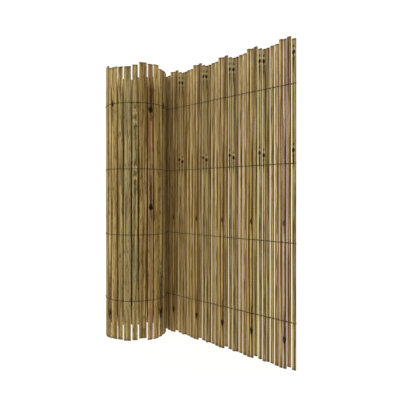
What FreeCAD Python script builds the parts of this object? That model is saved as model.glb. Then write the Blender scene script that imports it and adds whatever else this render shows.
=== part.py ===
import FreeCAD, Part
import math
import os
import Sketcher

# Bamboo slat fencing standing on its end: a flat stretch of narrow slats, then one turn of wide
# slats wound into an open roll, all held by four rows of two wire strands.
# Millimetres. +Z is up, +X runs along the flat stretch to its free end, and the roll stands on
# the -Y side of it. The origin is on the ground under the middle of the whole piece.
# "Travel" is the distance along the middle of the mat, from the free end.

THIN_SLATS = 39
WIDE_SLATS = 26
WIRE_ROWS = 4
STRANDS = ("a", "b")

GENERAL_SIZES = {
    "thin_length": 997,
    "wide_length": 1000,
    "slat_thickness": 5.5,
    "slat_camber": 0.4,
    "wide_gap": 4.5,
    "flat_length": 665.2,
    "roll_radius": 112.7,
    "tuck_angle": 50,
    "tuck_clearance": 1.5,
    "wire_diameter": 1.6,
    "wire_seat": 0.1,
    "wire_tip": 3,
    "first_row": 146,
    "top_margin": 132.3,
}

# The slats repeat in groups of eight, each with its own widths, length and foot.
# thin and wide are the widths in the two stretches, gap follows a thin slat, foot is the height
# of its lower end above the ground, and extra is what its length has beyond its stretch's length.
GROUP_COLUMNS = ("thin", "gap", "wide", "foot", "extra")
SLAT_GROUP = {
    "a": (12.7, 5.8, 19.9, 5.2, 1.6),
    "b": (12.2, 4.8, 28.3, 10.0, 7.0),
    "c": (10.7, 4.1, 19.7, 0.7, 13.5),
    "d": (10.7, 4.1, 23.0, 0.0, 16.4),
    "e": (13.5, 5.3, 18.4, 1.7, 3.5),
    "f": (11.4, 5.8, 27.2, 4.1, 0.1),
    "g": (10.3, 4.2, 18.9, 4.8, -3.0),
    "h": (11.5, 5.3, 26.6, 2.4, -1.1),
}
LETTERS = "".join(SLAT_GROUP)


def fill_sheet(doc):
    """Write every driving size into one sheet: its name beside it, and the same name as alias."""
    sheet = doc.addObject("Spreadsheet::Sheet", "Sizes")
    named = dict(GENERAL_SIZES)
    for letter, values in SLAT_GROUP.items():
        for column, value in zip(GROUP_COLUMNS, values):
            named[f"{column}_{letter}"] = value
    for row, (name, value) in enumerate(named.items(), start=1):
        sheet.set(f"A{row}", name)
        sheet.set(f"B{row}", str(value))
        sheet.setAlias(f"B{row}", name)
    doc.recompute()
    return sheet


# The mat's route and the places of the slats

def route_pieces(sheet):
    """The route of the mat's middle, as (length, radius) pieces; a straight one has no radius.

    It runs straight, round the roll, then on a tighter arc that brings the end inside the flat
    stretch, and from there a second turn would follow the first one at the same distance."""
    inset = sheet.slat_thickness + 2 * (sheet.wire_seat + sheet.wire_diameter) + sheet.tuck_clearance
    tuck = math.radians(sheet.tuck_angle)
    tuck_radius = sheet.roll_radius - inset / (1 - math.cos(tuck))
    tuck_end = (sheet.roll_radius - tuck_radius) * math.sin(tuck)
    return [
        (sheet.flat_length, None),
        (sheet.roll_radius * (2 * math.pi - tuck), sheet.roll_radius),
        (tuck_radius * tuck, tuck_radius),
        (tuck_end, None),
        (math.inf, sheet.roll_radius - inset),
    ]


def walk(route, travel, start):
    """Point of the route at this travel, with the mat's own directions there: along and outward."""
    point = FreeCAD.Vector(start)
    heading = math.pi
    for length, radius in route:
        step = min(travel, length)
        along = FreeCAD.Vector(math.cos(heading), math.sin(heading), 0)
        if radius is None:
            point = point + along * step
        else:
            centre = point + FreeCAD.Vector(-along.y, along.x, 0) * radius
            heading += step / radius
            point = centre + FreeCAD.Vector(math.sin(heading), -math.cos(heading), 0) * radius
        travel -= step
        if travel <= 0:
            break
    along = FreeCAD.Vector(math.cos(heading), math.sin(heading), 0)
    outward = FreeCAD.Vector(along.y, -along.x, 0)
    return point, along, outward


def slat_places(sheet):
    """Each slat in order from the free end: its letter, its width and how it stands in plan."""
    route = route_pieces(sheet)
    start = FreeCAD.Vector(sheet.flat_length, 0, 0)
    places = []
    edge = 0
    for index in range(THIN_SLATS + WIDE_SLATS):
        letter = LETTERS[index % len(LETTERS)]
        thin = index < THIN_SLATS
        stretch = "thin" if thin else "wide"
        width_name = f"{stretch}_{letter}"
        width = sheet.get(width_name)
        middle, along, outward = walk(route, edge + width / 2, start)
        places.append({
            "letter": letter,
            "width_name": width_name,
            "length_name": f"{stretch}_length",
            "width": width,
            "middle": middle,
            "along": along,
            "outward": outward,
        })
        last_thin = index == THIN_SLATS - 1
        gap = sheet.get(f"gap_{letter}") if thin and not last_thin else sheet.wide_gap
        edge += width + gap
    return places


# One slat

def slat_section(body, sheet, place):
    """Section of a split slat: sawn flat inside and on both edges, the skin side cambered."""
    half = place["width"] / 2
    inner = -sheet.slat_thickness / 2
    shoulder = sheet.slat_thickness / 2 - sheet.slat_camber
    corners = [
        FreeCAD.Vector(-half, inner, 0),
        FreeCAD.Vector(half, inner, 0),
        FreeCAD.Vector(half, shoulder, 0),
        FreeCAD.Vector(-half, shoulder, 0),
    ]
    crown = FreeCAD.Vector(0, sheet.slat_thickness / 2, 0)

    sketch = body.newObject("Sketcher::SketchObject", "Section")
    plane = [item for item in body.Origin.OriginFeatures if item.Role == "XY_Plane"][0]
    sketch.AttachmentSupport = [(plane, "")]
    sketch.MapMode = "FlatFace"
    inside = sketch.addGeometry(Part.LineSegment(corners[0], corners[1]))
    right = sketch.addGeometry(Part.LineSegment(corners[1], corners[2]))
    skin = sketch.addGeometry(Part.Arc(corners[2], crown, corners[3]))
    left = sketch.addGeometry(Part.LineSegment(corners[3], corners[0]))

    first, last, axis, origin = 1, 2, -2, -1
    for joined in (
        (inside, last, right, first),
        (right, last, skin, first),
        (skin, last, left, first),
        (left, last, inside, first),
    ):
        sketch.addConstraint(Sketcher.Constraint("Coincident", *joined))
    sketch.addConstraint(Sketcher.Constraint("Symmetric", inside, first, inside, last, axis))
    sketch.addConstraint(Sketcher.Constraint("Vertical", right))
    sketch.addConstraint(Sketcher.Constraint("Vertical", left))
    sketch.addConstraint(Sketcher.Constraint("Equal", right, left))

    radius = half * half / (2 * sheet.slat_camber) + sheet.slat_camber / 2
    width = f"Sizes.{place['width_name']}"
    bound = [
        ("width", ("DistanceX", inside, first, inside, last, 2 * half), width),
        ("inner_face", ("DistanceY", inside, first, origin, first, -inner), "Sizes.slat_thickness / 2"),
        (
            "edge_height",
            ("DistanceY", right, first, right, last, shoulder - inner),
            "Sizes.slat_thickness - Sizes.slat_camber",
        ),
        (
            "skin_radius",
            ("Radius", skin, radius),
            f"{width} ^ 2 / (8 * Sizes.slat_camber) + Sizes.slat_camber / 2",
        ),
    ]
    for name, constraint, expression in bound:
        number = sketch.addConstraint(Sketcher.Constraint(*constraint))
        sketch.renameConstraint(number, name)
        sketch.setExpression(f"Constraints.{name}", expression)
    return sketch


def make_slat(doc, sheet, number, place, plan_middle):
    """One slat: its section padded to the slat's own length, standing at its place in the mat."""
    letter = place["letter"]
    body = doc.addObject("PartDesign::Body", f"Slat{number:02d}")
    body.Label = f"slat_{number:02d}"
    sketch = slat_section(body, sheet, place)
    pad = body.newObject("PartDesign::Pad", "Length")
    pad.Profile = sketch
    pad.setExpression("Length", f"Sizes.{place['length_name']} + Sizes.extra_{letter}")
    sketch.Visibility = False

    middle = place["middle"] - plan_middle
    turn = FreeCAD.Rotation(FreeCAD.Vector(0, 1, 0), place["outward"])
    body.Placement = FreeCAD.Placement(middle, turn)
    body.setExpression("Placement.Base.z", f"Sizes.foot_{letter}")
    return body


def make_pair(doc, first_number, slats):
    """Two neighbouring wide slats, kept as separate solids in one sub-part."""
    pair = doc.addObject("Part::Compound", f"SlatPair{first_number:02d}")
    pair.Label = f"slats_{first_number:02d}_{first_number + 1:02d}"
    pair.Links = slats
    return pair


# The wire strands

def face_run(sheet, place, side):
    """Middle line of a strand where it lies on a slat, as a point and a direction."""
    height = sheet.slat_thickness / 2 + sheet.wire_seat + sheet.wire_diameter / 2
    return place["middle"] + place["outward"] * (side * height), place["along"]


def corner(sheet, place, end, side):
    """Corner of a slat, moved off its face by the wire's seat, that a strand turns round."""
    height = sheet.slat_thickness / 2 + sheet.wire_seat
    edge = place["middle"] + place["along"] * (end * place["width"] / 2)
    return edge + place["outward"] * (side * height)


def meeting_point(line, other):
    """Where two lines in plan meet; each is a point and a direction."""
    (point, along), (other_point, other_along) = line, other
    apart = other_point - point
    crossing = along.x * other_along.y - along.y * other_along.x
    return point + along * ((apart.x * other_along.y - apart.y * other_along.x) / crossing)


def crossing_line(sheet, here, after, side):
    """Middle line of a strand in the gap, where it changes from one side of the mat to the other.

    It touches the corner it leaves and the corner it comes to, half a wire away from each."""
    leaves = corner(sheet, here, 1, side)
    reaches = corner(sheet, after, -1, -side)
    straight = reaches - leaves
    swing = math.asin(sheet.wire_diameter / straight.Length)
    turn = FreeCAD.Rotation(FreeCAD.Vector(0, 0, 1), math.degrees(side * swing))
    return (leaves + reaches) * 0.5, turn.multVec(straight).normalize()


def strand_middle(sheet, places, first_side):
    """Corner points of a strand's middle line, woven over one slat and under the next."""
    side = first_side
    point, along = face_run(sheet, places[0], side)
    points = [point - along * (places[0]["width"] / 2 + sheet.wire_tip)]
    for here, after in zip(places, places[1:]):
        crossing = crossing_line(sheet, here, after, side)
        points.append(meeting_point(face_run(sheet, here, side), crossing))
        points.append(meeting_point(face_run(sheet, after, -side), crossing))
        side = -side
    point, along = face_run(sheet, places[-1], side)
    points.append(point + along * (places[-1]["width"] / 2 + sheet.wire_tip))
    return points


def beside(points, distance):
    """The line of points moved sideways by a distance, with mitred corners."""
    normals = []
    for point, following in zip(points, points[1:]):
        along = (following - point).normalize()
        normals.append(FreeCAD.Vector(-along.y, along.x, 0))
    moved = [points[0] + normals[0] * distance]
    for point, before, after in zip(points[1:-1], normals, normals[1:]):
        moved.append(point + (before + after) * (distance / (1 + before.dot(after))))
    moved.append(points[-1] + normals[-1] * distance)
    return moved


def strand_outline(sheet, places, first_side):
    """Closed outline of a strand seen from above."""
    middle = strand_middle(sheet, places, first_side)
    half = sheet.wire_diameter / 2
    outline = beside(middle, half) + beside(middle, -half)[::-1]
    return outline + outline[:1]


def middle_of(outlines):
    """Middle of the mat's box in plan. The strands reach further out than any slat."""
    box = FreeCAD.BoundBox()
    for outline in outlines:
        for point in outline:
            box.add(point)
    return box.Center


def row_spacing(sheet):
    """Rows of wire are even between the first one and the margin under the roll's lowest top."""
    ends = [sheet.get(f"foot_{letter}") + sheet.get(f"extra_{letter}") for letter in LETTERS]
    lowest_top = sheet.wide_length + min(ends)
    return (lowest_top - sheet.top_margin - sheet.first_row) / (WIRE_ROWS - 1)


def make_strand(doc, profile, row, letter, spacing, plan_middle):
    """One strand of a row: the woven outline raised by the wire's thickness.

    Strand a runs above the height of its row and strand b below it, so they pass each other."""
    strand = doc.addObject("Part::Extrusion", f"Wire{row + 1}{letter.upper()}")
    strand.Label = f"wire_row_{row + 1}_{letter}"
    strand.Base = profile
    strand.DirMode = "Custom"
    strand.Dir = FreeCAD.Vector(0, 0, 1)
    strand.Solid = True
    strand.setExpression("LengthFwd", "Sizes.wire_diameter")
    strand.Placement = FreeCAD.Placement(-plan_middle, FreeCAD.Rotation())
    drop = STRANDS.index(letter)
    height = f"Sizes.first_row + {row} * {spacing} - {drop} * Sizes.wire_diameter"
    strand.setExpression("Placement.Base.z", height)
    return strand


# The whole mat

def build(doc):
    """Make every sub-part and return them in order, slats first."""
    sheet = fill_sheet(doc)
    places = slat_places(sheet)
    outlines = [strand_outline(sheet, places, side) for side in (1, -1)]
    plan_middle = middle_of(outlines)

    slats = [
        make_slat(doc, sheet, number, place, plan_middle)
        for number, place in enumerate(places, start=1)
    ]
    subparts = slats[:THIN_SLATS]
    for first in range(THIN_SLATS, len(slats), 2):
        subparts.append(make_pair(doc, first + 1, slats[first:first + 2]))

    spacing = row_spacing(sheet)
    for letter, outline in zip(STRANDS, outlines):
        profile = doc.addObject("Part::Feature", f"StrandOutline{letter.upper()}")
        profile.Shape = Part.Face(Part.makePolygon(outline))
        profile.Visibility = False
        for row in range(WIRE_ROWS):
            subparts.append(make_strand(doc, profile, row, letter, spacing, plan_middle))
    doc.recompute()
    return subparts


def check(doc, subparts):
    """Stop if anything failed to build."""
    for item in doc.Objects:
        if "Invalid" in item.State or "Error" in item.State:
            raise RuntimeError(f"{item.Label} did not build: {item.State}")
    for subpart in subparts:
        shape = subpart.Shape
        if shape.isNull() or not shape.isValid() or not shape.Solids:
            raise RuntimeError(f"{subpart.Label} has no valid solid")


def main():
    doc = FreeCAD.newDocument("SlatFencing")
    subparts = build(doc)
    check(doc, subparts)
    os.makedirs("parts", exist_ok=True)
    for subpart in subparts:
        subpart.Shape.exportStep(f"parts/{subpart.Label}.step")
    print(f"{len(subparts)} sub-parts written")


main()
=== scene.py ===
import math

import bmesh
import bpy
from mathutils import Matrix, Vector, noise


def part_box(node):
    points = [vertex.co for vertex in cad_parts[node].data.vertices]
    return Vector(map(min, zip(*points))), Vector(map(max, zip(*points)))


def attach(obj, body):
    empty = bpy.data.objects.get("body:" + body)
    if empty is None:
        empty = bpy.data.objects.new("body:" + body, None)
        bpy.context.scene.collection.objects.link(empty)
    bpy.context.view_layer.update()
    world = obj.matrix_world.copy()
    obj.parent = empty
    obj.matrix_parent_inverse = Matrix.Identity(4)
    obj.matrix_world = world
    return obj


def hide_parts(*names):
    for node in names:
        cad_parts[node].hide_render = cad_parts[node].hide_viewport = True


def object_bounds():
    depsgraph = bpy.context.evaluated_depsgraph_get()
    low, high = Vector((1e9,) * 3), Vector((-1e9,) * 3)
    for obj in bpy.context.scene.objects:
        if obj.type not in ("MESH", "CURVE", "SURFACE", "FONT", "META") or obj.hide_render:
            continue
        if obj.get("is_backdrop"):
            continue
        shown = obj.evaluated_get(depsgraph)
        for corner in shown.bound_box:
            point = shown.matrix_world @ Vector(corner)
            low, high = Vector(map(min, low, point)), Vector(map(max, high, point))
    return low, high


# Looks of a roll of bamboo slat fencing: weathered split slats bound by twisted wire.
# Lengths are in metres unless a name says otherwise. "Along" is the way the mat runs from its
# free end, "outward" is the side that faces out of the roll, and a slat's own place is given as
# across (along the mat), depth (outward) and height. Slats are numbered from the free end, and
# come in groups of eight kinds.

MM = 0.001
BODY = "root"
GROUP = 8

# The camera, from the wire rows' perspective in the photograph
CAMERA_PLACE = Vector((1.2300, -1.0570, 0.5326))
CAMERA_AZIMUTH = math.radians(47.2)
PHOTO_WIDTH = 400
FOCAL_PX = 470
HORIZON_PX = 195
SENSOR_MM = 36

# Tones are display values from 0 to 255. Each kind of slat has one for its upper part and one
# for its lower part. The flat stretch shows its inner side, and the roll its skin side.
FLAT_TONES = (
    ((118, 108, 82), (100, 93, 72)),
    ((60, 45, 31), (84, 66, 46)),
    ((219, 201, 157), (109, 81, 44)),
    ((173, 150, 106), (129, 105, 71)),
    ((189, 171, 131), (124, 107, 68)),
    ((78, 61, 26), (133, 121, 86)),
    ((95, 79, 43), (40, 33, 14)),
    ((143, 130, 94), (74, 71, 47)),
)
ROLL_TONES = (
    ((125, 116, 77), (106, 97, 66)),
    ((138, 120, 72), (123, 103, 62)),
    ((131, 96, 62), (160, 131, 96)),
    ((162, 140, 78), (150, 128, 70)),
    ((163, 143, 100), (164, 141, 98)),
    ((167, 146, 87), (146, 127, 76)),
    ((109, 99, 62), (112, 99, 65)),
    ((120, 113, 82), (124, 112, 78)),
)

# The tone of each kind's own patches
ACCENT_TONES = (
    (152, 156, 118),
    (84, 54, 18),
    (148, 90, 66),
    (196, 168, 92),
    (214, 192, 146),
    (172, 150, 102),
    (104, 82, 40),
    (146, 148, 112),
)

# Tones that are the same on every slat, and those of the wire and the floor
# The dark streak tone is also the painted shade on one side of each slat, and the pale streak tone the
# painted highlight on the other
DARK_STREAK_AND_SIDE_SHADE = (72, 48, 10)
PALE_STREAK_AND_SIDE_HIGHLIGHT = (196, 172, 112)
RED_STREAK = (118, 66, 26)
GREEN_STREAK = (112, 108, 56)
# A painted highlight on the sawn edge of the flat slats
LIT_EDGE_TONE = (242, 210, 132)
# Painted shade on the narrow faces, and painted light on them near the ends of open gaps
SHADED_SIDE_TONE = (84, 62, 24)
LIT_OPEN_SIDE_TONE = (246, 232, 190)
END_TONE = (76, 62, 34)
KNOT_TONE = (38, 20, 4)
RING_TONE = (196, 178, 132)
WIRE_TONE = (30, 20, 6)
RUST_TONE = (56, 34, 12)
FLOOR_TONE = (89, 89, 89)

# Knots by kind of slat, counted from 0: height above the ground, across as a share of the half
# width, size, how much the knot is drawn out along the slat, and how strong the spots beside it
# are. A stretch below zero turns the knot over, so that its trail runs upward.
FLAT_KNOTS = {
    0: ((0.963, 0.0, 1.0, 1.0, 0.8), (0.668, 0.1, 1.0, 1.0, 0.8)),
    2: ((0.090, 0.1, 1.0, -1.8, 0.0), (0.445, 0.3, 0.65, -2.6, 0.0)),
    7: ((0.959, 0.1, 1.0, 1.0, 0.8), (0.659, 0.1, 1.0, 1.0, 0.8)),
}
ROLL_KNOTS = {
    0: ((0.816, 0.0, 1.1, 1.8, 1.3), (0.612, 0.0, 1.1, 1.8, 1.3)),
    2: ((0.846, 0.1, 1.6, -1.2, 0.3), (0.487, 0.1, 1.4, -1.4, 0.3)),
    4: ((0.094, 0.2, 1.9, -1.9, 0.5),),
    5: ((0.868, -0.8, 1.2, 1.2, 0.0),),
}

# The material reads two knots from every slat. A missing one lies far above the slat's end.
KNOT_NAMES = ("knot_one", "knot_two")
NO_KNOT = (5.0, 0.0, 1.0, 1.0, 0.0)

# How dark a slat's knots are, by kind in the roll
FLAT_KNOT_DEPTH = 1.0
ROLL_KNOT_DEPTH = (0.5, 1.0, 1.0, 1.0, 1.0, 1.0, 1.0, 1.0)

# How strong the painted shade on one side of a slat is, by kind in the roll
FLAT_SHADE = 0.65
ROLL_SHADE = (0.25, 0.95, 0.30, 0.60, 0.35, 0.45, 0.30, 0.35)

# How strong the painted highlight on the sawn edge of a flat slat is, by kind
FLAT_LIT = (0.70, 0.30, 0.75, 0.65, 0.80, 0.65, 0.25, 0.55)

# The narrow slats shortly before the roll get painted light against the roll's shade: each is brighter
# than the one before by this share, up to the turn of the mat, where it falls off three times as fast
PAINTED_LIGHT_RANGE = (27, 37)
PAINTED_LIGHT_STEP = 0.046
PAINTED_LIGHT_FALL = 3

# Slats of the roll whose ends have the open background behind their gaps, and how strongly painted
# light brightens the ends of their sides and of all other sides
OPEN_SLATS = range(53, 62)
OPEN_SIDE = 1.0
CLOSED_SIDE = 0.15


def linear(tone):
    """A display tone as scene-linear RGBA, by the sRGB formula."""
    channels = []
    for value in tone:
        share = value / 255
        channels.append(share / 12.92 if share <= 0.04045 else ((share + 0.055) / 1.055) ** 2.4)
    return (*channels, 1.0)


# The slats as the frame holds them

# Corners this close are one corner, and faces whose normals agree to so many digits are one side
MERGE_REACH = 0.001 * MM
NORMAL_DIGITS = 3


def islands(mesh):
    """Sets of connected faces of a bmesh."""
    left = set(mesh.faces)
    while left:
        found = [left.pop()]
        for face in found:
            for edge in face.edges:
                for other in edge.link_faces:
                    if other in left:
                        left.remove(other)
                        found.append(other)
        yield found


def measure_slat(faces, node):
    """Place and size of one slat from its solid: the flat inner face is the largest one."""
    areas = {}
    for face in faces:
        normal = tuple(round(n, NORMAL_DIGITS) for n in face.normal)
        areas[normal] = areas.get(normal, 0) + face.calc_area()
    outward = -Vector(max(areas, key=areas.get))
    along = Vector((-outward.y, outward.x, 0))
    corners = {vert for face in faces for vert in face.verts}
    across = [vert.co.dot(along) for vert in corners]
    depth = [vert.co.dot(outward) for vert in corners]
    height = [vert.co.z for vert in corners]
    middle = along * ((min(across) + max(across)) / 2) + outward * ((min(depth) + max(depth)) / 2)
    return {
        "node": node,
        "along": along,
        "outward": outward,
        "middle": middle,
        "width": max(across) - min(across),
        "thickness": max(depth) - min(depth),
        "foot": min(height),
        "top": max(height),
    }


def read_slats(nodes):
    """Every slat of the frame, in order from the free end."""
    slats = []
    for name in sorted(node for node in nodes if node.startswith("slat")):
        mesh = bmesh.new()
        mesh.from_mesh(nodes[name].data)
        bmesh.ops.remove_doubles(mesh, verts=mesh.verts, dist=MERGE_REACH)
        found = [measure_slat(faces, name) for faces in islands(mesh)]
        mesh.free()
        heading = sum((slat["along"] for slat in found), Vector())
        slats += sorted(found, key=lambda slat: slat["middle"].dot(heading))
    return slats


def to_nearest_end(slat, height):
    """How far a height on a slat is from its foot or its top, whichever is nearer."""
    return min(height - slat["foot"], slat["top"] - height)


# Slat meshes

# The rounding of a slat's section, and how finely the section and the slat's length are divided
CAMBER = 0.4 * MM
EDGE_ROUND = 0.2 * MM
ROUND_STEPS = 3
CROWN_STEPS = 6
STATION_STEP = 18 * MM

# How far edges and skin wander, how quickly they do so per metre, and how far apart in the noise
# neighbouring slats lie. A slat's second edge and its skin have seeds of their own.
EDGE_WANDER = 0.15 * MM
DEPTH_WANDER = 0.1 * MM
WANDER_RATE = 9
WANDER_APART = 3.7
SECOND_EDGE_SEED = 100
SKIN_SEED = 200

# A narrow slat's edges lie farther out by the taper for each metre above the taper's foot
TAPER = 0.35 * MM
TAPER_FOOT = 0.2

# A wide slat's edges are worn by up to this much, within this length of its ends
END_WEAR = 0.4 * MM
END_WEAR_LENGTH = 0.09


def section_points(width, thickness):
    """Closed section of a slat, as (across, depth): flat inside, cambered skin, rounded corners."""
    half = width / 2
    inner = -thickness / 2
    shoulder = thickness / 2 - CAMBER
    corners = (
        (half - EDGE_ROUND, inner + EDGE_ROUND, -90),
        (half - EDGE_ROUND, shoulder - EDGE_ROUND, 0),
        (EDGE_ROUND - half, shoulder - EDGE_ROUND, 90),
        (EDGE_ROUND - half, inner + EDGE_ROUND, 180),
    )
    points = []
    for number, (across, depth, first_angle) in enumerate(corners):
        for step in range(ROUND_STEPS + 1):
            angle = math.radians(first_angle + 90 * step / ROUND_STEPS)
            points.append((across + EDGE_ROUND * math.cos(angle), depth + EDGE_ROUND * math.sin(angle)))
        if number == 1:
            flat_half = half - EDGE_ROUND
            for step in range(1, CROWN_STEPS):
                share = 1 - 2 * step / CROWN_STEPS
                points.append((flat_half * share, shoulder + CAMBER * (1 - share * share)))
    return points


def wander(seed, height, reach):
    """A slow, smooth wandering along a slat, to both sides of zero and never past the reach."""
    return reach * noise.noise(Vector((seed * WANDER_APART, height * WANDER_RATE, seed)))


def slat_mesh(slat, number, flat):
    """Mesh of one slat with slightly wandering edges and skin, and each vertex's own place.

    A narrow one tapers a little along its length, and a wide one is worn narrower at its ends."""
    points = section_points(slat["width"], slat["thickness"])
    length = slat["top"] - slat["foot"]
    steps = round(length / STATION_STEP)
    mesh = bmesh.new()
    rings = []
    places = []
    for step in range(steps + 1):
        height = slat["foot"] + length * step / steps
        worn = END_WEAR * max(0, 1 - to_nearest_end(slat, height) / END_WEAR_LENGTH)
        wider = TAPER * (height - TAPER_FOOT) if flat else -worn
        left = wander(number, height, EDGE_WANDER) + wider
        right = wander(number + SECOND_EDGE_SEED, height, EDGE_WANDER) + wider
        depth_change = wander(number + SKIN_SEED, height, DEPTH_WANDER) - DEPTH_WANDER
        ring = []
        for across, depth in points:
            moved = across + (right if across > 0 else -left) * abs(across) * 2 / slat["width"]
            deep = depth + (depth_change if depth > 0 else 0)
            spot = slat["middle"] + slat["along"] * moved + slat["outward"] * deep
            ring.append(mesh.verts.new((spot.x, spot.y, height)))
            places.append((across, depth, height))
        rings.append(ring)
    for lower, upper in zip(rings, rings[1:]):
        for index in range(len(points)):
            after = (index + 1) % len(points)
            mesh.faces.new((lower[index], lower[after], upper[after], upper[index]))
    mesh.faces.new(rings[0][::-1])
    mesh.faces.new(rings[-1])
    bmesh.ops.recalc_face_normals(mesh, faces=mesh.faces)
    data = bpy.data.meshes.new(f"slat_mesh_{number:02d}")
    mesh.to_mesh(data)
    mesh.free()
    data.shade_smooth()
    return data, places


# What the bamboo material reads from a slat

# The name under which Blender keeps the values of each type of attribute
FIELDS = {"FLOAT": "value", "FLOAT_VECTOR": "vector", "FLOAT_COLOR": "color"}


def store(data, name, data_type, column):
    """Give a mesh an attribute, with one value for each vertex."""
    attribute = data.attributes.new(name, data_type, "POINT")
    for item, value in zip(attribute.data, column):
        setattr(item, FIELDS[data_type], value)


def painted_light_share(number):
    """How much painted light brightens a narrow slat beyond its tones, by its number from the free end.
    """
    first, last = PAINTED_LIGHT_RANGE
    return 1 + PAINTED_LIGHT_STEP * max(0, min(number - first, PAINTED_LIGHT_FALL * (last - number)))


def knot_places(knot, slat, places):
    """Each vertex's place from a knot, as across, strength of the spots, and height.

    Across and height are in millimetres on a knot of size one that isn't drawn out."""
    knot_height, share, size, stretch, spots = knot
    knot_across = share * slat["width"] / 2
    unit = size * MM
    return [
        ((across - knot_across) / unit, spots, (height - knot_height) / unit / stretch)
        for across, depth, height in places
    ]


def paint_slat(data, places, slat, number, flat):
    """Store what the bamboo material reads: the slat's own coordinates, tones, seed and knots."""
    kind = (number - 1) % GROUP
    upper, lower = (FLAT_TONES if flat else ROLL_TONES)[kind]
    for name, tone in (("upper_tone", upper), ("lower_tone", lower), ("accent", ACCENT_TONES[kind])):
        store(data, name, "FLOAT_COLOR", [linear(tone)] * len(places))
    whole_slat = {
        "seed": kind if flat else kind + GROUP,
        "shade": FLAT_SHADE if flat else ROLL_SHADE[kind],
        "lit": FLAT_LIT[kind],
        "painted_light": painted_light_share(number),
        "knot_depth": FLAT_KNOT_DEPTH if flat else ROLL_KNOT_DEPTH[kind],
        "open_side": OPEN_SIDE if number in OPEN_SLATS else CLOSED_SIDE,
    }
    for name, value in whole_slat.items():
        store(data, name, "FLOAT", [value] * len(places))
    half = slat["width"] / 2
    store(data, "own_place", "FLOAT_VECTOR", [(a / MM, d / MM, h / MM) for a, d, h in places])
    store(data, "across_share", "FLOAT", [a / half for a, d, h in places])
    store(data, "edge_distance", "FLOAT", [(half - a) / MM for a, d, h in places])
    store(data, "end_distance", "FLOAT", [to_nearest_end(slat, h) / MM for a, d, h in places])
    knots = (FLAT_KNOTS if flat else ROLL_KNOTS).get(kind, ())
    for name, knot in zip(KNOT_NAMES, (*knots, NO_KNOT, NO_KNOT)):
        store(data, name, "FLOAT_VECTOR", knot_places(knot, slat, places))


# Materials

class Graph:
    """Short calls for adding and joining shader nodes."""

    def __init__(self, tree):
        self.nodes = tree.nodes
        self.links = tree.links

    def node(self, node_type, **settings):
        made = self.nodes.new(node_type)
        for key, value in settings.items():
            setattr(made, key, value)
        return made

    def feed(self, socket, value):
        """Join a socket to another node's output, or set it to a plain value."""
        if isinstance(value, bpy.types.NodeSocket):
            self.links.new(value, socket)
        else:
            socket.default_value = value

    def attribute(self, name, output="Fac"):
        return self.node("ShaderNodeAttribute", attribute_name=name).outputs[output]

    def math(self, operation, first, second=0.0):
        made = self.node("ShaderNodeMath", operation=operation)
        self.feed(made.inputs[0], first)
        self.feed(made.inputs[1], second)
        return made.outputs[0]

    def plus(self, first, second):
        return self.math("ADD", first, second)

    def minus(self, first, second):
        return self.math("SUBTRACT", first, second)

    def times(self, first, second):
        return self.math("MULTIPLY", first, second)

    def larger(self, first, second):
        return self.math("MAXIMUM", first, second)

    def absolute(self, value):
        return self.math("ABSOLUTE", value)

    def vector_math(self, operation, vector, socket, value):
        made = self.node("ShaderNodeVectorMath", operation=operation)
        self.feed(made.inputs[0], vector)
        self.feed(made.inputs[socket], value)
        return made.outputs[0]

    def parts(self, vector):
        """The three parts of a vector."""
        made = self.node("ShaderNodeSeparateXYZ")
        self.feed(made.inputs[0], vector)
        return made.outputs

    def shifted(self, vector, first, second):
        """A vector moved by one value in its first part and by another in its second."""
        step = self.node("ShaderNodeCombineXYZ")
        self.feed(step.inputs[0], first)
        self.feed(step.inputs[1], second)
        return self.vector_math("ADD", vector, 1, step.outputs[0])

    def noise(self, vector, scale, detail, roughness=0.5):
        """Noise between zero and one, with a scale of its own for each part of the vector."""
        made = self.node("ShaderNodeTexNoise")
        self.feed(made.inputs["Vector"], self.vector_math("MULTIPLY", vector, 1, scale))
        made.inputs["Scale"].default_value = 1.0
        made.inputs["Detail"].default_value = detail
        made.inputs["Roughness"].default_value = roughness
        return made.outputs["Fac"]

    def ramp(self, value, none, full):
        """Zero where the value is at none or beyond it, rising evenly to one at full."""
        made = self.node("ShaderNodeMapRange")
        made.inputs["From Min"].default_value = none
        made.inputs["From Max"].default_value = full
        self.feed(made.inputs["Value"], value)
        return made.outputs["Result"]

    def mix(self, factor, first, second):
        made = self.node("ShaderNodeMix", data_type="RGBA")
        self.feed(made.inputs["Factor"], factor)
        self.feed(made.inputs["A"], first)
        self.feed(made.inputs["B"], second)
        return made.outputs["Result"]

    def overlay(self, colour, mask, strength, cover):
        """A colour with another one laid over it where the mask says."""
        return self.mix(self.times(mask, strength), colour, cover)


def new_material(name):
    """A new material, the graph of its nodes, and its shader."""
    material = bpy.data.materials.new(name)
    material.use_nodes = True
    return material, Graph(material.node_tree), material.node_tree.nodes["Principled BSDF"]


# Bamboo

# How far apart in the noises two seeds lie, in millimetres
SEED_STEP_ACROSS = 31.7
SEED_STEP_OUTWARD = 0.7 * SEED_STEP_ACROSS

# Noises of the bamboo: scale per millimetre across, outward and up, detail, and roughness
NOISES = {
    "bands": ((0.13, 0.10, 0.0016), 1.0, 0.5),
    "streaks": ((0.34, 0.2, 0.0035), 2.0, 0.55),
    "lines": ((0.75, 0.5, 0.006), 2.0, 0.6),
    "grain": ((1.6, 1.0, 0.016), 3.0, 0.6),
    "stains": ((0.06, 0.05, 0.006), 2.0, 0.5),
    "patches": ((0.16, 0.1, 0.010), 2.5, 0.6),
    "blotches": ((0.22, 0.2, 0.035), 3.0, 0.5),
    "ragged": ((0.30, 0.2, 0.10), 2.0, 0.5),
}

# The middle of a noise's range, where it moves nothing
NOISE_MIDDLE = 0.5

# The heights where the upper tone begins and where the lower one ends, and how far the streaks
# move them in all
TONE_CHANGE_MM = (560, 720)
TONE_CHANGE_SWING_MM = 300

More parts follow.
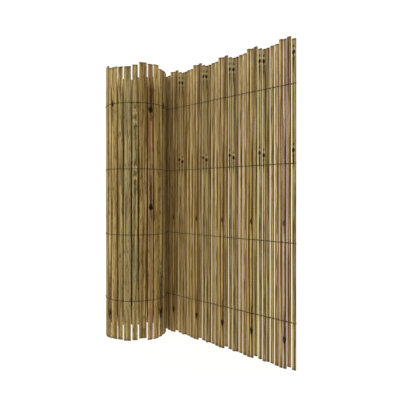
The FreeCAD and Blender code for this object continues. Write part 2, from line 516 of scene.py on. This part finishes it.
# Painted shade on one side of a slat and a painted highlight on the other: the places across, from -1
# to 1, where each begins and where it is full, and how far the bands move them in all
FLAT_SHADED_SIDE = (0.2, -0.8)
ROLL_SHADED_SIDE = (0.1, 0.8)
FLAT_HIGHLIGHT_SIDE = (0.2, 0.9)
ROLL_HIGHLIGHT_SIDE = (-0.2, -0.9)
SIDE_SWING = 2.0
SIDE_HIGHLIGHT_STRENGTH = 0.30

# Patches in the slat's accent tone: where their noise begins to show, where it is full, strength
PATCH_RAMP = (0.49, 0.60)
PATCH_STRENGTH = 0.65

# Marks that lie over them, in order: noise, where it begins to show, where it is full, strength
# and tone
MARKS = (
    ("stains", 0.56, 0.72, 0.45, RED_STREAK),
    ("stains", 0.44, 0.28, 0.45, GREEN_STREAK),
    ("streaks", 0.48, 0.40, 0.85, DARK_STREAK_AND_SIDE_SHADE),
    ("streaks", 0.53, 0.61, 0.70, PALE_STREAK_AND_SIDE_HIGHLIGHT),
    ("lines", 0.46, 0.37, 0.65, DARK_STREAK_AND_SIDE_SHADE),
    ("lines", 0.54, 0.64, 0.60, PALE_STREAK_AND_SIDE_HIGHLIGHT),
    ("grain", 0.46, 0.25, 0.40, DARK_STREAK_AND_SIDE_SHADE),
)

# Dark blotches over all of them, which are stronger on the skin side
BLOTCH_RAMP = (0.55, 0.64)
FLAT_BLOTCH_STRENGTH = 0.35
ROLL_BLOTCH_STRENGTH = 0.60

# Narrow faces, which get painted shade, by share of the half width, and where painted light brightens
# them instead, by distance from their end
NARROW_FACE = (0.985, 1.0)
NARROW_FACE_STRENGTH = 0.8
OPEN_SIDE_MM = (90, 55)

# The painted highlight on the sawn edge, by distance from it, and how much less of it shows in the
# slat's upper part
LIT_EDGE_MM = (3.0, 0.8)
LIT_LOSS_ABOVE = 0.45

# Ends of a slat, by distance from them
END_MM = (8.0, 1.0)
END_STRENGTH = 0.7

# Knots, in millimetres on a knot of size one: height, half width and half height of the knot and
# of the smaller dark spots and pale rings above and below it. Their outline fades between these
# squares of the distance, where one is the outline itself.
KNOT_SPOT = (0, 5.0, 6.5)
SMALL_SPOTS = ((18, 3.4, 4.0), (-17, 3.8, 5.0), (-34, 3.0, 6.0))
RING_SPOTS = ((9, 6.0, 4.0), (-9, 6.0, 4.0))
RING_STRENGTH = 0.5
SPOT_RAMP = (1.5, 0.9)

# The dark trail below a knot: height of its middle, and the distances from it where its ends and
# its sides begin to show and where they are full
TRAIL_MIDDLE = -18
TRAIL_ENDS = (46.0, 20.0)
TRAIL_SIDES = (4.4, 1.8)
TRAIL_STRENGTH = 0.8

# How far the ragged noise moves a knot's outline up and down in all, and the share of that by
# which it moves it across
FLAT_KNOT_BEND = 7.0
ROLL_KNOT_BEND = 26.0
BEND_ACROSS = 0.4

# Roughness where the grain's noise is zero, and what the noise adds to it at one
FLAT_ROUGHNESS = 0.62
ROLL_ROUGHNESS = 0.55
GRAIN_ROUGHNESS = 0.25
BAMBOO_SPECULAR = 0.04
BUMP_STRENGTH = 0.4
BUMP_DEPTH = 0.4 * MM


def swing(graph, value, shift, reach):
    """A value moved to either side by a noise, by up to half the reach."""
    return graph.plus(value, graph.times(graph.minus(shift, NOISE_MIDDLE), reach))


def add_side_shade_and_highlight(graph, colour, bands, flat):
    """Paint shade on one side of a slat and a highlight on the other."""
    lean = swing(graph, graph.attribute("across_share"), bands, SIDE_SWING)
    dark = graph.ramp(lean, *(FLAT_SHADED_SIDE if flat else ROLL_SHADED_SIDE))
    pale = graph.ramp(lean, *(FLAT_HIGHLIGHT_SIDE if flat else ROLL_HIGHLIGHT_SIDE))
    # Dark is where the painted shade falls, and pale is where the painted highlight goes
    colour = graph.overlay(colour, dark, graph.attribute("shade"), linear(DARK_STREAK_AND_SIDE_SHADE))
    return graph.overlay(colour, pale, SIDE_HIGHLIGHT_STRENGTH, linear(PALE_STREAK_AND_SIDE_HIGHLIGHT))


def add_marks(graph, colour, noises, flat):
    """Lay patches, stains, streaks, lines, grain and blotches over a colour."""
    patches = graph.ramp(noises["patches"], *PATCH_RAMP)
    colour = graph.overlay(colour, patches, PATCH_STRENGTH, graph.attribute("accent", "Color"))
    for name, none, full, strength, tone in MARKS:
        colour = graph.overlay(colour, graph.ramp(noises[name], none, full), strength, linear(tone))
    blotches = graph.ramp(noises["blotches"], *BLOTCH_RAMP)
    strength = FLAT_BLOTCH_STRENGTH if flat else ROLL_BLOTCH_STRENGTH
    return graph.overlay(colour, blotches, strength, linear(DARK_STREAK_AND_SIDE_SHADE))


def add_narrow_face_shade_and_light(graph, colour, to_end):
    """Paint shade on the narrow faces, or painted light where light comes in at the ends of the gaps.
    """
    face = graph.ramp(graph.absolute(graph.attribute("across_share")), *NARROW_FACE)
    near_end = graph.ramp(to_end, *OPEN_SIDE_MM)
    open_side = graph.times(near_end, graph.attribute("open_side"))
    side = graph.mix(open_side, linear(SHADED_SIDE_TONE), linear(LIT_OPEN_SIDE_TONE))
    return graph.overlay(colour, face, NARROW_FACE_STRENGTH, side)


def add_lit_edge(graph, colour, change):
    """Paint a highlight on the sawn edge that faces away from the free end, less so in the upper part.
    """
    edge = graph.ramp(graph.attribute("edge_distance"), *LIT_EDGE_MM)
    lit = graph.times(edge, graph.attribute("lit"))
    kept_above = graph.minus(1.0, graph.times(change, LIT_LOSS_ABOVE))
    return graph.overlay(colour, lit, kept_above, linear(LIT_EDGE_TONE))


def knot_masks(graph, name, ragged, bend):
    """A dark knot with smaller spots above and below it and a dark trail, and its pale rings."""
    across, spots, height = graph.parts(graph.attribute(name, "Vector"))
    across = swing(graph, across, ragged, BEND_ACROSS * bend)
    height = swing(graph, height, ragged, bend)

    def spot(level, half_width, half_height):
        wide = graph.math("DIVIDE", across, half_width)
        tall = graph.math("DIVIDE", graph.minus(height, level), half_height)
        square = graph.plus(graph.times(wide, wide), graph.times(tall, tall))
        return graph.ramp(square, *SPOT_RAMP)

    dark = spot(*KNOT_SPOT)
    for small_spot in SMALL_SPOTS:
        dark = graph.larger(dark, graph.times(spot(*small_spot), spots))
    trail_height = graph.ramp(graph.absolute(graph.minus(height, TRAIL_MIDDLE)), *TRAIL_ENDS)
    trail = graph.times(trail_height, graph.ramp(graph.absolute(across), *TRAIL_SIDES))
    dark = graph.larger(dark, graph.times(trail, TRAIL_STRENGTH))
    upper_ring, lower_ring = [spot(*ring) for ring in RING_SPOTS]
    return dark, graph.times(graph.larger(upper_ring, lower_ring), graph.times(spots, RING_STRENGTH))


def add_knots(graph, colour, ragged, flat):
    """Lay both knots over a colour, each with its pale rings under its dark parts."""
    bend = FLAT_KNOT_BEND if flat else ROLL_KNOT_BEND
    depth = graph.attribute("knot_depth")
    for name in KNOT_NAMES:
        dark, rings = knot_masks(graph, name, ragged, bend)
        colour = graph.mix(rings, colour, linear(RING_TONE))
        colour = graph.overlay(colour, dark, depth, linear(KNOT_TONE))
    return colour


def bamboo(name, flat):
    """Weathered split bamboo: lengthwise streaks, fine grain, knots and dark ends."""
    material, graph, shader = new_material(name)
    own = graph.attribute("own_place", "Vector")
    to_end = graph.attribute("end_distance")
    seed = graph.attribute("seed")
    seed_across = graph.times(seed, SEED_STEP_ACROSS)
    seed_outward = graph.times(seed, SEED_STEP_OUTWARD)
    place = graph.shifted(own, seed_across, seed_outward)
    noises = {key: graph.noise(place, *settings) for key, settings in NOISES.items()}

    level = swing(graph, graph.parts(own)[2], noises["streaks"], TONE_CHANGE_SWING_MM)
    change = graph.ramp(level, *TONE_CHANGE_MM)
    upper = graph.attribute("upper_tone", "Color")
    colour = graph.mix(change, graph.attribute("lower_tone", "Color"), upper)
    # Painted shade on one side of each slat and a painted highlight on the other
    colour = add_side_shade_and_highlight(graph, colour, noises["bands"], flat)
    colour = add_marks(graph, colour, noises, flat)
    # Painted shade on the narrow faces, with painted light near the ends of open gaps
    colour = add_narrow_face_shade_and_light(graph, colour, to_end)
    # Painted highlight on the sawn edge of the flat slats
    if flat:
        colour = add_lit_edge(graph, colour, change)
    colour = graph.overlay(colour, graph.ramp(to_end, *END_MM), END_STRENGTH, linear(END_TONE))
    colour = add_knots(graph, colour, noises["ragged"], flat)
    # Painted light on the narrow slats shortly before the roll, against the roll's shade
    if flat:
        colour = graph.vector_math("SCALE", colour, "Scale", graph.attribute("painted_light"))
    graph.feed(shader.inputs["Base Color"], colour)

    smoothest = FLAT_ROUGHNESS if flat else ROLL_ROUGHNESS
    roughness = graph.plus(graph.times(noises["grain"], GRAIN_ROUGHNESS), smoothest)
    graph.feed(shader.inputs["Roughness"], roughness)
    shader.inputs["Specular IOR Level"].default_value = BAMBOO_SPECULAR
    bump = graph.node("ShaderNodeBump")
    bump.inputs["Strength"].default_value = BUMP_STRENGTH
    bump.inputs["Distance"].default_value = BUMP_DEPTH
    graph.feed(bump.inputs["Height"], graph.plus(noises["grain"], noises["streaks"]))
    graph.feed(shader.inputs["Normal"], bump.outputs["Normal"])
    return material


# The slats

def make_slats(slats, narrow_count):
    """Every slat as a piece of its own, in place of its solid."""
    inner = bamboo("bamboo_flat", flat=True)
    outer = bamboo("bamboo_roll", flat=False)
    for number, slat in enumerate(slats, start=1):
        flat = number <= narrow_count
        data, places = slat_mesh(slat, number, flat)
        paint_slat(data, places, slat, number, flat)
        data.materials.append(inner if flat else outer)
        piece = bpy.data.objects.new(f"bamboo_slat_{number:02d}", data)
        bpy.context.scene.collection.objects.link(piece)
        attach(piece, BODY)
        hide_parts(slat["node"])


# The wires

# The rows, their two strands, and the side of the first slat where each starts: 1 is outward
WIRE_ROWS = 4
STRANDS = (("a", 1), ("b", -1))

# Points of a strand: shares of the half width on a slat, and steps from slat to slat
SLAT_SHARES = (-1, -0.5, 0, 0.5, 1)
GAP_STEPS = 6

# How far a strand's tip reaches past the end slats, and, as shares of the wire's radius, how far
# the tips stand off the slat's middle and how far a strand rises or sinks in a gap
TIP = 2.2 * MM
TIP_SPREAD = 1.1
GAP_RISE = 1.05

# How far a row wanders up and down, and how far apart in the noise its points and the rows lie
ROW_WANDER = 0.5 * MM
POINT_APART = 0.05
ROW_APART = 7.3

# How far a strand sinks into a slat's face, and how finely its section is rounded
WIRE_INSET = 0.05 * MM
BEVEL_STEPS = 2

# Rust: scale of its noise, the values where it begins to show and where it is full, and those
# where the wire would be quite smooth and quite rough
RUST_SCALE = (220, 220, 220)
RUST_DETAIL = 3.0
RUST_RAMP = (0.42, 0.62)
RUST_ROUGHNESS_RAMP = (-1.0, 1.0)
WIRE_SPECULAR = 0.15


def wire_metal():
    """Dull brown binding wire with patches of rust."""
    material, graph, shader = new_material("binding_wire")
    place = graph.node("ShaderNodeTexCoord").outputs["Object"]
    rust = graph.noise(place, RUST_SCALE, RUST_DETAIL)
    colour = graph.mix(graph.ramp(rust, *RUST_RAMP), linear(WIRE_TONE), linear(RUST_TONE))
    graph.feed(shader.inputs["Base Color"], colour)
    graph.feed(shader.inputs["Roughness"], graph.ramp(rust, *RUST_ROUGHNESS_RAMP))
    shader.inputs["Specular IOR Level"].default_value = WIRE_SPECULAR
    return material


def strand_points(slats, first_side, height, reach, radius, row):
    """Middle line of a strand: flat on a slat, and half a turn round its twin in each gap."""
    points = []

    def add(place, outward, side_reach, rise):
        drift = ROW_WANDER * noise.noise(Vector((len(points) * POINT_APART, row * ROW_APART, 0)))
        points.append(place + outward * side_reach + Vector((0, 0, height + rise + drift)))

    side = first_side
    first = slats[0]
    edge = first["middle"] - first["along"] * (first["width"] / 2)
    add(edge - first["along"] * TIP, first["outward"], side * radius * TIP_SPREAD, 0)
    for here, after in zip(slats, slats[1:] + [None]):
        half = here["along"] * (here["width"] / 2)
        for share in SLAT_SHARES:
            add(here["middle"] + half * share, here["outward"], side * reach, 0)
        if after is None:
            break
        leaves = here["middle"] + half
        reaches = after["middle"] - after["along"] * (after["width"] / 2)
        for step in range(1, GAP_STEPS):
            share = step / GAP_STEPS
            turn = math.pi * share
            outward = here["outward"].lerp(after["outward"], share).normalized()
            rise = side * radius * GAP_RISE * math.sin(turn)
            add(leaves.lerp(reaches, share), outward, side * reach * math.cos(turn), rise)
        side = -side
    last = slats[-1]
    edge = last["middle"] + last["along"] * (last["width"] / 2)
    add(edge + last["along"] * TIP, last["outward"], side * radius * TIP_SPREAD, 0)
    return points


def make_wires(slats):
    """Two strands in each row, in place of their square solids."""
    metal = wire_metal()
    for row in range(1, WIRE_ROWS + 1):
        low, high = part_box(f"wire_row_{row}_a")
        diameter = high.z - low.z
        reach = slats[0]["thickness"] / 2 + diameter / 2 - WIRE_INSET
        for letter, side in STRANDS:
            curve = bpy.data.curves.new(f"wire_{row}_{letter}", "CURVE")
            curve.dimensions = "3D"
            curve.bevel_depth = diameter / 2
            curve.bevel_resolution = BEVEL_STEPS
            curve.use_fill_caps = True
            points = strand_points(slats, side, low.z, reach, diameter / 2, row)
            spline = curve.splines.new("POLY")
            spline.points.add(len(points) - 1)
            for knob, point in zip(spline.points, points):
                knob.co = (*point, 1)
            spline.use_smooth = True
            curve.materials.append(metal)
            piece = bpy.data.objects.new(f"twisted_wire_{row}_{letter}", curve)
            bpy.context.scene.collection.objects.link(piece)
            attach(piece, BODY)
            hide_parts(f"wire_row_{row}_{letter}")


# Camera, floor and light

# A white that is a little past full in red and green, so that edges against it stay warm
WARM_WHITE = (1.07, 1.03, 1.0, 1)
WORLD_STRENGTH = 1.0
FLOOR_REACH = 30
FLOOR_ROUGHNESS = 0.9
FLOOR_GLOW = 0.9
LAMP_PLACE = Vector((-1.2, -2.6, 2.0))
LAMP_AIM = Vector((0, 0, 0.5))
LAMP_SIZE = 2.0
LAMP_POWER = 20


def make_camera():
    camera = bpy.data.cameras.new("camera")
    camera.sensor_width = SENSOR_MM
    camera.lens = SENSOR_MM * FOCAL_PX / PHOTO_WIDTH
    camera.shift_y = (HORIZON_PX - PHOTO_WIDTH / 2) / PHOTO_WIDTH
    seen = bpy.data.objects.new("camera", camera)
    seen.location = CAMERA_PLACE
    seen.rotation_euler = (math.pi / 2, 0, CAMERA_AZIMUTH)
    bpy.context.scene.collection.objects.link(seen)
    bpy.context.scene.camera = seen


def make_floor():
    mesh = bmesh.new()
    bmesh.ops.create_grid(mesh, x_segments=1, y_segments=1, size=FLOOR_REACH)
    data = bpy.data.meshes.new("floor")
    mesh.to_mesh(data)
    mesh.free()
    floor = bpy.data.objects.new("floor", data)
    bpy.context.scene.collection.objects.link(floor)
    material, graph, shader = new_material("floor")
    graph.feed(shader.inputs["Base Color"], linear(FLOOR_TONE))
    graph.feed(shader.inputs["Roughness"], FLOOR_ROUGHNESS)
    graph.feed(shader.inputs["Emission Color"], WARM_WHITE)
    graph.feed(shader.inputs["Emission Strength"], FLOOR_GLOW)
    data.materials.append(material)
    floor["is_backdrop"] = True


def make_light():
    scene = bpy.context.scene
    world = bpy.data.worlds.new("studio")
    world.use_nodes = True
    background = world.node_tree.nodes["Background"]
    background.inputs["Color"].default_value = WARM_WHITE
    background.inputs["Strength"].default_value = WORLD_STRENGTH
    scene.world = world
    scene.view_settings.view_transform = "Standard"
    lamp = bpy.data.lights.new("key", "AREA")
    lamp.energy = LAMP_POWER
    lamp.size = LAMP_SIZE
    key = bpy.data.objects.new("key", lamp)
    key.location = LAMP_PLACE
    key.rotation_euler = (LAMP_AIM - LAMP_PLACE).to_track_quat("-Z", "Y").to_euler()
    scene.collection.objects.link(key)


def write_sizes(cad_box, visual_box):
    boxes = {"cad": cad_box, "visual": visual_box}
    sizes = {name: [list(corner) for corner in box] for name, box in boxes.items()}


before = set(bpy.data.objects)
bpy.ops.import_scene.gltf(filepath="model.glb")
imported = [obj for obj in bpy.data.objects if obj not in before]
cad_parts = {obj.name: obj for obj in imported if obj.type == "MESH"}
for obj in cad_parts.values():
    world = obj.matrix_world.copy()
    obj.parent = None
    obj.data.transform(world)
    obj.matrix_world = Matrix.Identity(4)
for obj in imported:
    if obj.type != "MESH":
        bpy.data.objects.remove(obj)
cad_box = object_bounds()
make_camera()
all_slats = read_slats(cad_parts)
narrow_slats = sum(1 for slat in all_slats if slat["node"].startswith("slat_"))
make_slats(all_slats, narrow_slats)
make_wires(all_slats)
make_floor()
make_light()
write_sizes(cad_box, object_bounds())
